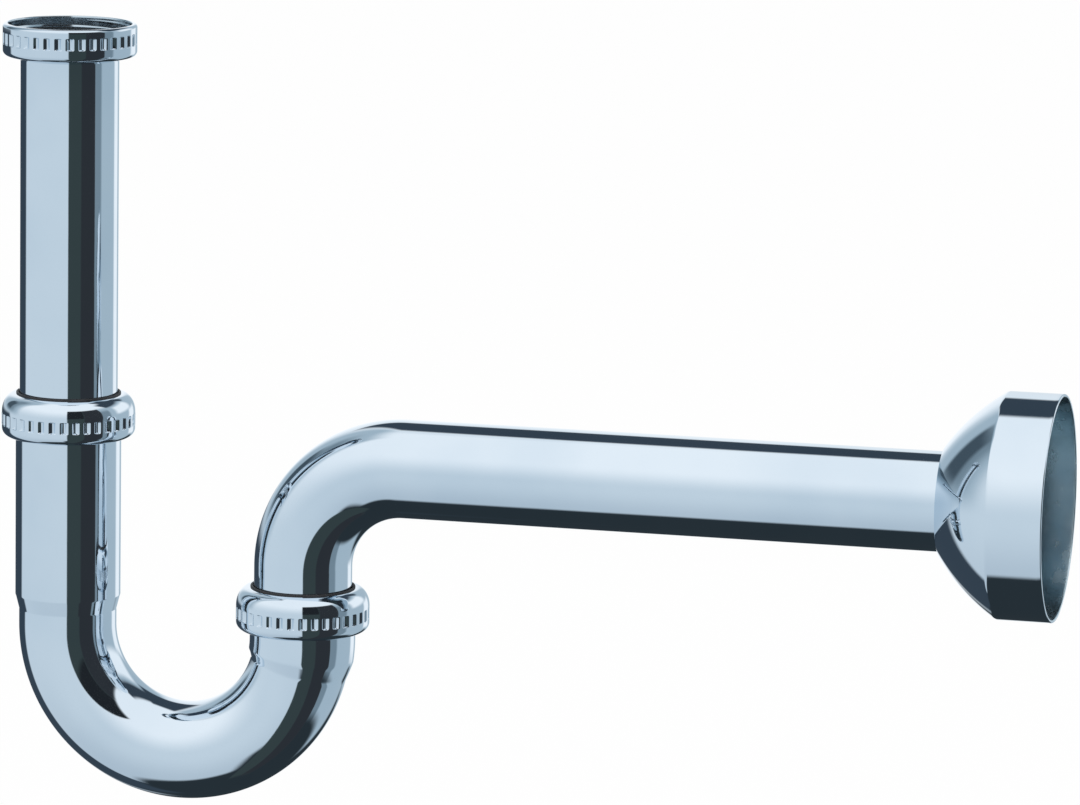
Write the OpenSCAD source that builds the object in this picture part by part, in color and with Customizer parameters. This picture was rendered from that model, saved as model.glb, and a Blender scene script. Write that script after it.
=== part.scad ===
// Tubular P-trap for a wash basin: drop tube, swivelling U-bend, wall arm with elbow and wall rosette.
// Origin: centre of the inlet nut's open mouth. +Z points up the basin waste, +X points to the wall.

/* [Tube] */
// Outer diameter of the waste tube
tube_d = 32; // [30:0.5:34]
// Wall of every drawn tube
tube_wall = 1; // [0.8:0.1:1.4]

/* [Layout] */
// Distance between the inlet leg's axis and the outlet leg's axis
leg_spacing = 80; // [70:1:110]
// Depth of the inlet slip joint's nut below the inlet mouth, to the nut's top
inlet_joint_depth = 119.5; // [80:0.5:145]
// Depth of the wall arm's axis below the inlet mouth
arm_depth = 140; // [120:0.5:180]
// Straight tube between the elbow and the top of the outlet slip joint's nut
elbow_to_joint = 5; // [4:0.5:30]
// Distance from the outlet nut's top to the line where the U-bend springs from its legs
joint_to_bend = 19; // [17:0.5:30]
// Height of the wall arm's lower end above the springing line
arm_end_rise = 0; // [0:0.5:6]
// Straight tube between the inlet socket's narrowing and the springing line
inlet_straight = 5; // [2:0.5:20]
// Height of the drop tube's lower end above the inlet socket's narrowing
drop_end_rise = 20; // [2:1:40]
// Bend radius of the elbow, on the tube's axis
elbow_r = 34; // [28:0.5:45]
// Reach of the wall arm, from the outlet leg's axis to the tube's end
arm_reach = 232; // [180:1:300]
// Distance of the rosette's rim past the tube's end
rosette_overhang = 15.2; // [12:0.2:20]

/* [Drawn sockets] */
// Wall of the drawn socket at each end of the U-bend
socket_wall = 0.9; // [0.7:0.1:1.1]
// Radial clearance between a tube and the socket it slides in
socket_clearance = 0.36; // [0.3:0.02:0.5]
// Height of the flared mouth of a socket
flare_h = 4.2; // [3:0.1:5]
// Radial growth of a socket's mouth
flare_growth = 1.2; // [0.9:0.1:1.3]
// Length of the cone where a socket narrows to the tube
step_h = 5; // [4:0.1:6]
// Arc from the springing line to the middle of the outlet socket's narrowing
outlet_step_arc = 7.6; // [7:0.1:12]

/* [Joint nuts] */
// Wall of a slip joint's nut outside its threaded bore
joint_nut_wall = 2.88; // [2.5:0.02:4]
// Height of a slip joint's nut
nut_h = 16; // [15.5:0.1:18]
// Radius of the rounded crown of a slip joint's nut
crown_r = 5.6; // [4:0.1:5.8]
// Radius of the rounded foot of a slip joint's nut
foot_r = 2.8; // [1.5:0.1:2.9]
// Thickness of a slip joint nut's inner shoulder below its top
shoulder_h = 2.5; // [2.2:0.1:3]
// Radial clearance between a socket's flared mouth and the nut's threaded bore
mouth_clearance = 0.46; // [0.4:0.02:0.8]
// Radial clearance between male and female threads
thread_clearance = 0.3; // [0.2:0.05:0.35]

/* [Flutes] */
// Number of grip flutes round a nut
flute_count = 36; // [24:1:44]
// Width of one flute
flute_w = 2; // [1.2:0.1:2.4]
// Depth of one flute
flute_depth = 0.5; // [0.3:0.05:0.7]
// Length of one flute
flute_h = 4.2; // [3:0.1:4.5]
// Distance from a slip joint nut's top to the top of its flutes
joint_flute_top = 8.1; // [7:0.1:8.5]
// Distance from the inlet mouth to the top of the inlet nut's flutes
inlet_flute_top = 2.7; // [2:0.1:3]
// Turn of the first flute from +X
flute_phase = 3; // [0:0.5:10]

/* [Inlet nut] */
// Height of the inlet nut
inlet_nut_h = 11.5; // [11.2:0.1:14]
// Height of the inlet nut's straight side
inlet_side_h = 7.9; // [7.5:0.1:8.1]
// Rounding of the inlet nut's upper rim
rim_round = 0.7; // [0.4:0.1:0.8]
// Radius of the inlet nut's threaded bore
inlet_thread_r = 20; // [19.6:0.1:21]
// Wall of the inlet nut outside its thread
inlet_nut_wall = 1.8; // [1.6:0.1:3]
// Length of the inlet nut's thread below the mouth
inlet_thread_h = 5.6; // [5:0.1:5.6]
// Radial depth of the thread's run-out groove
runout_depth = 0.4; // [0.2:0.1:0.5]
// Height of the run-out groove
runout_h = 0.9; // [0.6:0.1:1]
// Radius of the flat floor inside the inlet nut
seat_r = 19.2; // [19:0.1:19.4]
// Depth of the floor inside the inlet nut
seat_depth = 8.6; // [8.5:0.1:8.8]

/* [Seals and rings] */
// Thickness of the drop tube's flange
flange_t = 1; // [0.8:0.1:1.2]
// Radius of the drop tube's flange
flange_r = 18.9; // [18:0.1:18.9]
// Thickness of the flat inlet gasket
gasket_t = 1.8; // [1.5:0.1:1.8]
// Radial step from the tube's bore to the inlet gasket's hole
gasket_lip = 0.3; // [0.2:0.1:1]
// Thickness of a slip ring
ring_t = 1.5; // [1:0.1:1.6]
// Thickness of a seal's upper lip
seal_lip_t = 1.1; // [0.9:0.1:1.3]
// Height of a seal's tapered skirt
seal_skirt_h = 2.2; // [1.5:0.1:2.4]
// Height of a threaded collar
collar_h = 5.6; // [5:0.1:5.8]

/* [Fits] */
// Radial clearance round a tube in a nut, a ring or the rosette
slide_clearance = 0.3; // [0.25:0.05:0.35]
// Radial clearance between a soft seal and its tube
seal_clearance = 0.1; // [0.08:0.01:0.15]
// Gap between two flat faces that turn on each other
face_gap = 0.1; // [0.05:0.05:0.15]
// Gap of a brazed joint
braze_gap = 0.04; // [0.02:0.01:0.06]

/* [Rosette] */
// Outer radius of the rosette's rim
rosette_r = 36.25; // [34:0.25:38]
// Wall of the rosette
rosette_wall = 1; // [0.8:0.1:1.2]
// Length of the rosette's cone
rosette_cone = 20; // [18:0.5:24]
// Length of the rosette's cylindrical band
rosette_band = 17; // [14:0.5:20]
// Width of the flat ring round the hole in the rosette's nose
nose_lip = 0.3; // [0.2:0.1:0.8]
// Rounding between the nose and the cone
nose_round = 3; // [2:0.1:4]
// Rounding of the rosette's shoulder
shoulder_round = 1.8; // [1.4:0.1:3]
// Distance of the rubber grip from the rosette's nose
grip_inset = 2.6; // [2.4:0.1:3]
// Length of the rubber grip
grip_l = 3; // [2:0.1:4]
// Radial thickness of the rubber grip
grip_t = 1.6; // [1.4:0.1:1.7]

/* [Hidden] */
$fn = 96;
chrome = [0.78, 0.84, 0.89];
rubber = [0.13, 0.13, 0.14];
plastic = [0.90, 0.90, 0.87];

tube_r = tube_d / 2;
bore_r = tube_r - tube_wall;
hole_r = tube_r + slide_clearance;
socket_ri = tube_r + socket_clearance;
socket_ro = socket_ri + socket_wall;
bend_r = leg_spacing / 2;
// Overlap of cutting shapes past the face they cut
past = 1;

// Radii of a slip joint: the nut's threaded bore, the male thread, the rings inside, the nut's outside
joint_thread_r = socket_ro + flare_growth + mouth_clearance;
male_thread_r = joint_thread_r - thread_clearance;
ring_r = joint_thread_r - thread_clearance;
joint_nut_r = joint_thread_r + joint_nut_wall;
inlet_nut_r = inlet_thread_r + inlet_nut_wall;

// Places below a slip joint nut's top: ring, seal, socket mouth and threaded collar
ring_top = shoulder_h + face_gap;
seal_top = ring_top + ring_t + face_gap;
mouth_drop = seal_top + seal_lip_t + face_gap;
collar_top = mouth_drop + flare_h + face_gap;

// Depths below the mouth, from the wall arm down: outlet nut, springing line, and back up the inlet leg
elbow_depth = arm_depth + elbow_r;
outlet_joint_depth = elbow_depth + elbow_to_joint;
bend_depth = outlet_joint_depth + joint_to_bend;
arm_end_depth = bend_depth - arm_end_rise;
inlet_step_depth = bend_depth - inlet_straight - step_h;
drop_end_depth = inlet_step_depth - drop_end_rise;

// Places of the inlet parts below the mouth
flange_low = seat_depth - face_gap;
flange_top = flange_low - flange_t;
gasket_r = seat_r - slide_clearance;

// Places along the wall arm
arm_end_x = leg_spacing + arm_reach;
rim_x = arm_end_x + rosette_overhang;
nose_x = rim_x - rosette_band - rosette_cone;

// The outlet socket narrows inside the bend: turn of the narrowing's middle from the springing line
step_mid_a = outlet_step_arc / bend_r * 180 / PI;
// Radial overlap of the narrowing's cone with the tube and the socket it joins
step_over = 0.12;

// Half section of the rosette: centres of its two roundings, and the angle of the cone that touches both
nose_c = [nose_round, hole_r + nose_lip];
shoulder_c = [rosette_cone, rosette_r - shoulder_round];
centre_line = shoulder_c - nose_c;
cone_a = atan2(centre_line[1], centre_line[0]) - asin((nose_round - shoulder_round) / norm(centre_line));

// A ring of flutes, as cutting bodies sunk in a nut of radius r
module flutes(r, z_top) {
    cutter_r = (flute_w * flute_w / 4 + flute_depth * flute_depth) / (2 * flute_depth);
    for (i = [0 : flute_count - 1])
        rotate([0, 0, flute_phase + i * 360 / flute_count])
            translate([r - flute_depth + cutter_r, 0, z_top - flute_h])
                cylinder(r = cutter_r, h = flute_h, $fn = 32);
}

// A straight pipe section along Z
module pipe(ro, ri, z_low, z_high) {
    translate([0, 0, z_low])
        difference() {
            cylinder(r = ro, h = z_high - z_low);
            translate([0, 0, -past]) cylinder(r = ri, h = z_high - z_low + 2 * past);
        }
}

// A quarter of a bent pipe, its legs pointing down and to +X
module elbow() {
    intersection() {
        rotate([90, 0, 0])
            rotate_extrude()
                translate([elbow_r, 0])
                    difference() {
                        circle(r = tube_r);
                        circle(r = bore_r);
                    }
        translate([-2 * elbow_r, -elbow_r, 0]) cube(2 * elbow_r);
    }
}

// Half section of a slip joint's nut, its top at height 0
module joint_nut_section() {
    difference() {
        union() {
            translate([0, -nut_h]) square([joint_nut_r - foot_r, nut_h - crown_r]);
            translate([0, -nut_h + foot_r]) square([joint_nut_r, nut_h - foot_r - crown_r]);
            translate([0, -crown_r - past]) square([joint_nut_r - crown_r, crown_r + past]);
            translate([joint_nut_r - crown_r, -crown_r]) circle(r = crown_r);
            translate([joint_nut_r - foot_r, -nut_h + foot_r]) circle(r = foot_r);
        }
        translate([-past, -nut_h - past]) square([hole_r + past, nut_h + 2 * past]);
        translate([0, -nut_h - past]) square([joint_thread_r, nut_h - shoulder_h + past]);
    }
}

// Slip joint nut with rounded crown and a band of grip flutes
module joint_nut(x, depth) {
    color(chrome)
        translate([x, 0, -depth])
            difference() {
                rotate_extrude() joint_nut_section();
                flutes(joint_nut_r, -joint_flute_top);
            }
}

// Plain plastic ring under the nut's shoulder
module slip_ring(x, depth) {
    color(plastic)
        translate([x, 0, -depth])
            pipe(ring_r, hole_r, -ring_top - ring_t, -ring_top);
}

// Tapered rubber seal: a lip over the socket's mouth and a skirt inside the flare
module slip_seal(x, depth) {
    inner = tube_r + seal_clearance;
    lip_low = -seal_top - seal_lip_t;
    skirt_low = lip_low - seal_skirt_h;
    slope = flare_growth / flare_h;
    skirt_r = socket_ri + flare_growth - slide_clearance;
    color(rubber)
        translate([x, 0, -depth])
            rotate_extrude()
                polygon([
                    [inner, -seal_top],
                    [ring_r, -seal_top],
                    [ring_r, lip_low],
                    [skirt_r, lip_low],
                    [skirt_r - seal_skirt_h * slope, skirt_low],
                    [inner, skirt_low]
                ]);
}

// Ring with the joint's male thread, brazed on the socket below its flare
module thread_collar(x, depth) {
    color(chrome)
        translate([x, 0, -depth])
            pipe(male_thread_r, socket_ro + braze_gap, -collar_top - collar_h, -collar_top);
}

// Half section of a socket's wall, from its flared mouth down to height z_low
module socket_section(z_mouth, z_low) {
    polygon([
        [socket_ri, z_low],
        [socket_ro, z_low],
        [socket_ro, z_mouth - flare_h],
        [socket_ro + flare_growth, z_mouth],
        [socket_ri + flare_growth, z_mouth],
        [socket_ri, z_mouth - flare_h]
    ]);
}

// Inlet leg of the U-bend, standing on the springing line: tube, cone, and socket up to its mouth
module inlet_leg() {
    rotate_extrude()
        union() {
            socket_section(bend_depth - inlet_joint_depth - mouth_drop, inlet_straight + step_h);
            polygon([
                [bore_r, 0],
                [tube_r, 0],
                [tube_r, inlet_straight],
                [socket_ro, inlet_straight + step_h],
                [socket_ri, inlet_straight + step_h],
                [bore_r, inlet_straight]
            ]);
        }
}

// Outlet leg of the U-bend, standing on the springing line: a socket
module outlet_leg() {
    rotate_extrude()
        socket_section(joint_to_bend - mouth_drop, 0);
}

// The lower half of a solid ring round the bend's centre
module half_ring(r) {
    intersection() {
        rotate([90, 0, 0])
            rotate_extrude()
                translate([bend_r, 0]) circle(r = r);
        translate([-2 * bend_r, -bend_r, -2 * bend_r]) cube([4 * bend_r, 2 * bend_r, 2 * bend_r]);
    }
}

// The bent end of the outlet socket, solid: a half ring inside a cone on the bend's axis
module bent_step(r_wide, r_narrow) {
    growth = (r_wide - r_narrow + 2 * step_over) / step_h;
    cone_l = step_h / 2 + (bend_r + r_wide) * sin(step_mid_a) + past;
    intersection() {
        half_ring(r_wide);
        rotate([0, step_mid_a, 0])
            translate([bend_r, 0, -step_h / 2])
                cylinder(r1 = r_narrow - step_over, r2 = r_narrow - step_over + growth * cone_l, h = cone_l);
    }
}

// Threaded union nut that hangs the trap on the basin waste
module inlet_nut() {
    color(chrome)
        difference() {
            rotate_extrude()
                difference() {
                    union() {
                        translate([0, -rim_round - past]) square([inlet_nut_r - rim_round, rim_round + past]);
                        translate([inlet_nut_r - rim_round, -rim_round]) circle(r = rim_round, $fn = 32);
                        translate([0, -inlet_side_h]) square([inlet_nut_r, inlet_side_h - rim_round]);
                        polygon([
                            [0, -inlet_nut_h],
                            [hole_r + rim_round, -inlet_nut_h],
                            [inlet_nut_r, -inlet_side_h],
                            [0, -inlet_side_h]
                        ]);
                    }
                    translate([-past, -inlet_nut_h - past]) square([hole_r + past, inlet_nut_h + 2 * past]);
                    translate([0, -inlet_thread_h]) square([inlet_thread_r, inlet_thread_h + past]);
                    polygon([
                        [0, -inlet_thread_h + runout_depth],
                        [inlet_thread_r, -inlet_thread_h + runout_depth],
                        [inlet_thread_r + runout_depth, -inlet_thread_h],
                        [inlet_thread_r + runout_depth, -inlet_thread_h - runout_h],
                        [seat_r, -inlet_thread_h - runout_h - runout_depth],
                        [seat_r, -seat_depth],
                        [0, -seat_depth]
                    ]);
                }
            flutes(inlet_nut_r, -inlet_flute_top);
        }
}

// Flat rubber gasket on the drop tube's flange
module inlet_gasket() {
    color(rubber)
        pipe(gasket_r, bore_r + gasket_lip, -flange_top, -flange_top + gasket_t);
}

// Drop tube with a flange turned out at its top
module drop_tube() {
    color(chrome)
        rotate_extrude()
            polygon([
                [bore_r, -drop_end_depth],
                [bore_r, -flange_top],
                [flange_r, -flange_top],
                [flange_r, -flange_low],
                [tube_r, -flange_low],
                [tube_r, -drop_end_depth]
            ]);
}

module inlet_joint_nut() {
    joint_nut(0, inlet_joint_depth);
}

module inlet_slip_ring() {
    slip_ring(0, inlet_joint_depth);
}

module inlet_seal() {
    slip_seal(0, inlet_joint_depth);
}

module inlet_thread_collar() {
    thread_collar(0, inlet_joint_depth);
}

// U-shaped trap bend with a drawn socket at each end
module u_bend() {
    color(chrome)
        translate([bend_r, 0, -bend_depth])
            union() {
                translate([-bend_r, 0, 0]) inlet_leg();
                difference() {
                    union() {
                        half_ring(tube_r);
                        bent_step(socket_ro, tube_r);
                    }
                    half_ring(bore_r);
                    bent_step(socket_ri, bore_r);
                }
                translate([bend_r, 0, 0]) outlet_leg();
            }
}

module outlet_thread_collar() {
    thread_collar(leg_spacing, outlet_joint_depth);
}

module outlet_seal() {
    slip_seal(leg_spacing, outlet_joint_depth);
}

module outlet_slip_ring() {
    slip_ring(leg_spacing, outlet_joint_depth);
}

module outlet_joint_nut() {
    joint_nut(leg_spacing, outlet_joint_depth);
}

// Wall arm: a short leg in the outlet socket, an elbow and a long straight tube
module wall_tube() {
    color(chrome)
        union() {
            translate([leg_spacing, 0, 0]) pipe(tube_r, bore_r, -arm_end_depth, -elbow_depth);
            translate([leg_spacing + elbow_r, 0, -elbow_depth]) elbow();
            translate([leg_spacing + elbow_r, 0, -arm_depth])
                rotate([0, 90, 0]) pipe(tube_r, bore_r, 0, arm_reach - elbow_r);
        }
}

// Half section of the solid rosette, its nose at x = 0, offset inwards by t
module rosette_section(t) {
    side = [-sin(cone_a), cos(cone_a)];
    end_x = rosette_cone + rosette_band + t;
    union() {
        polygon([
            [t, 0],
            [end_x, 0],
            [end_x, rosette_r - t],
            [shoulder_c[0], rosette_r - t],
            shoulder_c,
            shoulder_c + (shoulder_round - t) * side,
            nose_c + (nose_round - t) * side,
            nose_c,
            [t, nose_c[1]]
        ]);
        translate(nose_c) circle(r = nose_round - t);
        translate(shoulder_c) circle(r = shoulder_round - t);
    }
}

// Sliding wall rosette: nose round the tube, cone and cylindrical band, open to the wall
module wall_rosette() {
    color(chrome)
        translate([nose_x, 0, -arm_depth])
            rotate([0, 90, 0])
                rotate_extrude()
                    rotate([0, 0, 90]) mirror([0, 1, 0])
                        difference() {
                            rosette_section(0);
                            rosette_section(rosette_wall);
                            translate([-past, -past]) square([rosette_wall + 2 * past, hole_r + past]);
                        }
}

// Rubber ring inside the rosette's nose that grips the tube
module rosette_grip() {
    inner = tube_r + seal_clearance;
    color(rubber)
        translate([nose_x + grip_inset, 0, -arm_depth])
            rotate([0, 90, 0]) pipe(inner + grip_t, inner, 0, grip_l);
}

inlet_nut();
inlet_gasket();
drop_tube();
inlet_joint_nut();
inlet_slip_ring();
inlet_seal();
inlet_thread_collar();
u_bend();
outlet_thread_collar();
outlet_seal();
outlet_slip_ring();
outlet_joint_nut();
wall_tube();
wall_rosette();
rosette_grip();
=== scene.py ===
"""Chromed tubular P-trap for a wash basin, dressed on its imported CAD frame.

Lengths are in millimetres while a piece is modelled and become metres when it is delivered.
The origin is the centre of the inlet nut's open mouth, +Z points up and +X points to the wall.
"""

import logging
import math
from dataclasses import dataclass, field
from enum import Enum
from typing import Callable, Iterable, Sequence

import bmesh
import bpy
from mathutils import Matrix, Vector


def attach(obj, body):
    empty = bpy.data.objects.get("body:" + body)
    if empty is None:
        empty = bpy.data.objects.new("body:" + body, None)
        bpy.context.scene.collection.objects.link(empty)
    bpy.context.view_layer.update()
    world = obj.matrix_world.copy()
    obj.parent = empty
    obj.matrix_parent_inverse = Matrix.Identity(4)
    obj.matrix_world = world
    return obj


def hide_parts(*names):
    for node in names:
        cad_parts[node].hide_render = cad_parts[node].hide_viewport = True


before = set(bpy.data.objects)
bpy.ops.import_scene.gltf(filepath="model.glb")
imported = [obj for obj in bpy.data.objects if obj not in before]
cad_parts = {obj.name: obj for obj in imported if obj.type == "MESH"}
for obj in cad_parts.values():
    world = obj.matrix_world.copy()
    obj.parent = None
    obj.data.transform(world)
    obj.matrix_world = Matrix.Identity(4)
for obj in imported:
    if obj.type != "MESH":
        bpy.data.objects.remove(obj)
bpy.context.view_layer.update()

LOG = logging.getLogger("p_trap")
MM = 0.001
FULL_TURN = 2 * math.pi
SECTORS = 8
TO_METRES = Matrix.Scale(MM, 4)
Z_AXIS = Vector((0.0, 0.0, 1.0))
X_AXIS = Vector((1.0, 0.0, 0.0))
Y_AXIS = Vector((0.0, 1.0, 0.0))
LAY_ALONG_X = Matrix.Rotation(math.pi / 2, 4, "Y")


class Slot(Enum):
    """The record's material slots."""

    CHROME = "chrome"
    RUBBER = "rubber"
    PLASTIC = "ring_plastic"


class Leg(Enum):
    """The two legs of the U-bend, by the name that their pieces start with."""

    INLET = "inlet"
    OUTLET = "outlet"


class Grain(Enum):
    """The direction in which a chromed piece was polished, as the stretch of its fine lines."""

    UPRIGHT = (900.0, 900.0, 35.0)
    LEVEL = (35.0, 900.0, 900.0)
    ROUND = (420.0, 420.0, 420.0)


# ---------------------------------------------------------------- shader sums


class Wire:
    """A number in a node tree, on which Python's operators add Math nodes."""

    def __init__(self, sheet: "NodeSheet", socket: bpy.types.NodeSocket) -> None:
        """Wraps an output socket of a sheet's tree."""
        self.sheet = sheet
        self.socket = socket

    def maths(self, operation: str, *values: "Wire | float") -> "Wire":
        """Adds one Math node.

        Args:
            operation: the Math node's operation.
            values: its inputs in order.

        Returns:
            The node's result.
        """
        inputs = dict(enumerate(values))
        return self.sheet.wire("ShaderNodeMath", {"operation": operation}, inputs)

    def __add__(self, other: "Wire | float") -> "Wire":
        """self + other."""
        return self.maths("ADD", self, other)

    def __radd__(self, other: float) -> "Wire":
        """other + self."""
        return self.maths("ADD", other, self)

    def __sub__(self, other: "Wire | float") -> "Wire":
        """self - other."""
        return self.maths("SUBTRACT", self, other)

    def __rsub__(self, other: float) -> "Wire":
        """other - self."""
        return self.maths("SUBTRACT", other, self)

    def __mul__(self, other: "Wire | float") -> "Wire":
        """self * other."""
        return self.maths("MULTIPLY", self, other)

    def __rmul__(self, other: float) -> "Wire":
        """other * self."""
        return self.maths("MULTIPLY", other, self)

    def wrapped(self, low: float, high: float) -> "Wire":
        """The value brought into the range from low to high by whole ranges."""
        return self.maths("WRAP", self, high, low)

    def size(self) -> "Wire":
        """The value without its sign."""
        return self.maths("ABSOLUTE", self)

    def faded(self, start: float, end: float, first: float = 0.0, last: float = 1.0) -> "Wire":
        """A smooth step over the value.

        Args:
            start: the value where the step starts.
            end: the value where it ends.
            first: the result before the start.
            last: the result past the end.

        Returns:
            The stepped value.
        """
        return self.sheet.wire(
            "ShaderNodeMapRange",
            {"interpolation_type": "SMOOTHSTEP", "clamp": True},
            {"Value": self, "From Min": start, "From Max": end, "To Min": first, "To Max": last},
        )


Plug = "Wire | bpy.types.NodeSocket | float | Sequence[float]"


class NodeSheet:
    """A node tree that one method fills, node by node."""

    def __init__(self, tree: bpy.types.NodeTree) -> None:
        """Empties the tree and takes it over."""
        self.tree = tree
        tree.nodes.clear()

    def node(self, kind: str, settings: dict | None = None, inputs: dict | None = None) -> bpy.types.Node:
        """Adds any node.

        Args:
            kind: the node's type.
            settings: its own settings, set before its sockets; "stops" are a ramp's places and colours.
            inputs: values, sockets or wires by the name or number of the socket.

        Returns:
            The new node.
        """
        made = self.tree.nodes.new(kind)
        for name, value in (settings or {}).items():
            if name == "stops":
                self._set_stops(made.color_ramp, value)
            else:
                setattr(made, name, value)
        for name, value in (inputs or {}).items():
            socket = made.inputs[name]
            if isinstance(value, Wire):
                self.tree.links.new(value.socket, socket)
            elif isinstance(value, bpy.types.NodeSocket):
                self.tree.links.new(value, socket)
            else:
                socket.default_value = value
        return made

    @staticmethod
    def _set_stops(ramp: bpy.types.ColorRamp, stops: Sequence[tuple]) -> None:
        """Gives a ramp its places and colours."""
        while len(ramp.elements) < len(stops):
            ramp.elements.new(0.5)
        for element, (place, colour) in zip(ramp.elements, stops):
            element.position = place
            element.color = (*colour, 1.0)

    def wire(self, kind: str, settings: dict | None = None, inputs: dict | None = None,
             output: str | int = 0) -> Wire:
        """Adds a node and returns one of its outputs as a number."""
        return Wire(self, self.node(kind, settings, inputs).outputs[output])

    def colour(self, rgb: Sequence[float]) -> tuple:
        """A colour as a socket takes it."""
        return (*rgb, 1.0)

    def mix(self, share: "Wire | float", first: "Plug", second: "Plug") -> bpy.types.NodeSocket:
        """Mixes two colours.

        Args:
            share: how much of the second colour shows.
            first: a colour socket, or red, green, blue and alpha.
            second: the same.

        Returns:
            The mixed colour's socket.
        """
        made = self.node(
            "ShaderNodeMix",
            {"data_type": "RGBA", "clamp_factor": True},
            {0: share, 6: first, 7: second},
        )
        return made.outputs[2]

    def noise(self, scale: Sequence[float], detail: float, roughness: float = 0.5) -> Wire:
        """Noise over the object's own coordinates.

        Args:
            scale: how many grains there are in a metre along each axis.
            detail: the noise's detail.
            roughness: the noise's roughness.

        Returns:
            The noise, from 0 to 1.
        """
        place = self.node("ShaderNodeTexCoord").outputs["Object"]
        stretched = self.node("ShaderNodeMapping", None, {"Vector": place, "Scale": tuple(scale)})
        return self.wire(
            "ShaderNodeTexNoise",
            {"noise_dimensions": "3D"},
            {"Vector": stretched.outputs[0], "Scale": 1.0, "Detail": detail, "Roughness": roughness},
        )


# ---------------------------------------------------------------- finishes


@dataclass(frozen=True)
class ChromeFinish:
    """Bright nickel-chrome plating on drawn brass, or its duller inside."""

    name: str
    grain: Grain = Grain.ROUND
    tone: tuple[float, float, float] = (0.72, 0.80, 0.87)
    shade: tuple[float, float, float] = (0.66, 0.75, 0.83)
    gloss: float = 0.030
    smear: float = 0.030
    wave: float = 0.05
    line: float = 0.020

    def build(self) -> bpy.types.Material:
        """Makes the material."""
        made = bpy.data.materials.new(self.name)
        made.use_nodes = True
        sheet = NodeSheet(made.node_tree)
        clouds = sheet.noise((22.0, 22.0, 22.0), 3.0)
        smears = sheet.noise((140.0, 140.0, 60.0), 5.0, 0.62)
        lines = sheet.noise(self.grain.value, 4.0, 0.6)
        waves = sheet.noise((26.0, 26.0, 26.0), 1.0, 0.4)
        base = sheet.mix(clouds.faded(0.35, 0.7), sheet.colour(self.tone), sheet.colour(self.shade))
        rough = self.gloss + smears.faded(0.45, 0.75) * self.smear + lines * (self.smear * 0.3)
        wavy = sheet.node(
            "ShaderNodeBump", None, {"Strength": self.wave, "Distance": 0.002, "Height": waves}
        )
        lined = sheet.node(
            "ShaderNodeBump",
            None,
            {"Strength": self.line, "Distance": 0.0001, "Height": lines, "Normal": wavy.outputs[0]},
        )
        shader = sheet.node(
            "ShaderNodeBsdfPrincipled",
            None,
            {"Base Color": base, "Metallic": 1.0, "Roughness": rough, "Normal": lined.outputs[0]},
        )
        sheet.node("ShaderNodeOutputMaterial", None, {"Surface": shader.outputs[0]})
        return made


@dataclass(frozen=True)
class RubberFinish:
    """Moulded black rubber with a fine matt skin."""

    name: str
    tone: tuple[float, float, float] = (0.018, 0.018, 0.020)
    bloom: tuple[float, float, float] = (0.035, 0.035, 0.038)

    def build(self) -> bpy.types.Material:
        """Makes the material."""
        made = bpy.data.materials.new(self.name)
        made.use_nodes = True
        sheet = NodeSheet(made.node_tree)
        patches = sheet.noise((160.0, 160.0, 160.0), 4.0)
        pores = sheet.noise((2600.0, 2600.0, 2600.0), 3.0, 0.6)
        base = sheet.mix(patches.faded(0.4, 0.7), sheet.colour(self.tone), sheet.colour(self.bloom))
        skin = sheet.node(
            "ShaderNodeBump", None, {"Strength": 0.35, "Distance": 0.00008, "Height": pores}
        )
        shader = sheet.node(
            "ShaderNodeBsdfPrincipled",
            None,
            {
                "Base Color": base,
                "Roughness": patches.faded(0.3, 0.7, 0.52, 0.70),
                "Normal": skin.outputs[0],
            },
        )
        sheet.node("ShaderNodeOutputMaterial", None, {"Surface": shader.outputs[0]})
        return made


@dataclass(frozen=True)
class PlasticFinish:
    """Moulded off-white plastic of a slip ring."""

    name: str
    tone: tuple[float, float, float] = (0.76, 0.76, 0.70)
    shade: tuple[float, float, float] = (0.70, 0.69, 0.62)

    def build(self) -> bpy.types.Material:
        """Makes the material."""
        made = bpy.data.materials.new(self.name)
        made.use_nodes = True
        sheet = NodeSheet(made.node_tree)
        flow = sheet.noise((90.0, 90.0, 240.0), 3.0)
        skin = sheet.noise((1500.0, 1500.0, 1500.0), 2.0)
        base = sheet.mix(flow.faded(0.35, 0.7), sheet.colour(self.tone), sheet.colour(self.shade))
        bump = sheet.node(
            "ShaderNodeBump", None, {"Strength": 0.2, "Distance": 0.00005, "Height": skin}
        )
        shader = sheet.node(
            "ShaderNodeBsdfPrincipled",
            None,
            {
                "Base Color": base,
                "Roughness": flow.faded(0.3, 0.7, 0.34, 0.44),
                "Normal": bump.outputs[0],
            },
        )
        sheet.node("ShaderNodeOutputMaterial", None, {"Surface": shader.outputs[0]})
        return made


@dataclass(frozen=True)
class Palette:
    """Every finish of the trap, built once."""

    upright: bpy.types.Material
    level: bpy.types.Material
    turned: bpy.types.Material
    inside: bpy.types.Material
    rosette_inside: bpy.types.Material
    rubber: bpy.types.Material
    plastic: bpy.types.Material

    @classmethod
    def mixed(cls) -> "Palette":
        """Builds the finishes."""
        return cls(
            upright=ChromeFinish("chrome_drawn_upright", Grain.UPRIGHT).build(),
            level=ChromeFinish("chrome_drawn_level", Grain.LEVEL).build(),
            turned=ChromeFinish("chrome_turned", Grain.ROUND, wave=0.02).build(),
            inside=ChromeFinish(
                "chrome_inside",
                Grain.ROUND,
                tone=(0.60, 0.69, 0.75),
                shade=(0.48, 0.56, 0.62),
                gloss=0.12,
                smear=0.12,
            ).build(),
            rosette_inside=ChromeFinish(
                "chrome_inside_rosette",
                Grain.ROUND,
                tone=(0.66, 0.77, 0.82),
                shade=(0.54, 0.66, 0.72),
                gloss=0.20,
                smear=0.12,
            ).build(),
            rubber=RubberFinish("rubber_moulded").build(),
            plastic=PlasticFinish("plastic_ring").build(),
        )


# ---------------------------------------------------------------- shared mesh work


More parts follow.
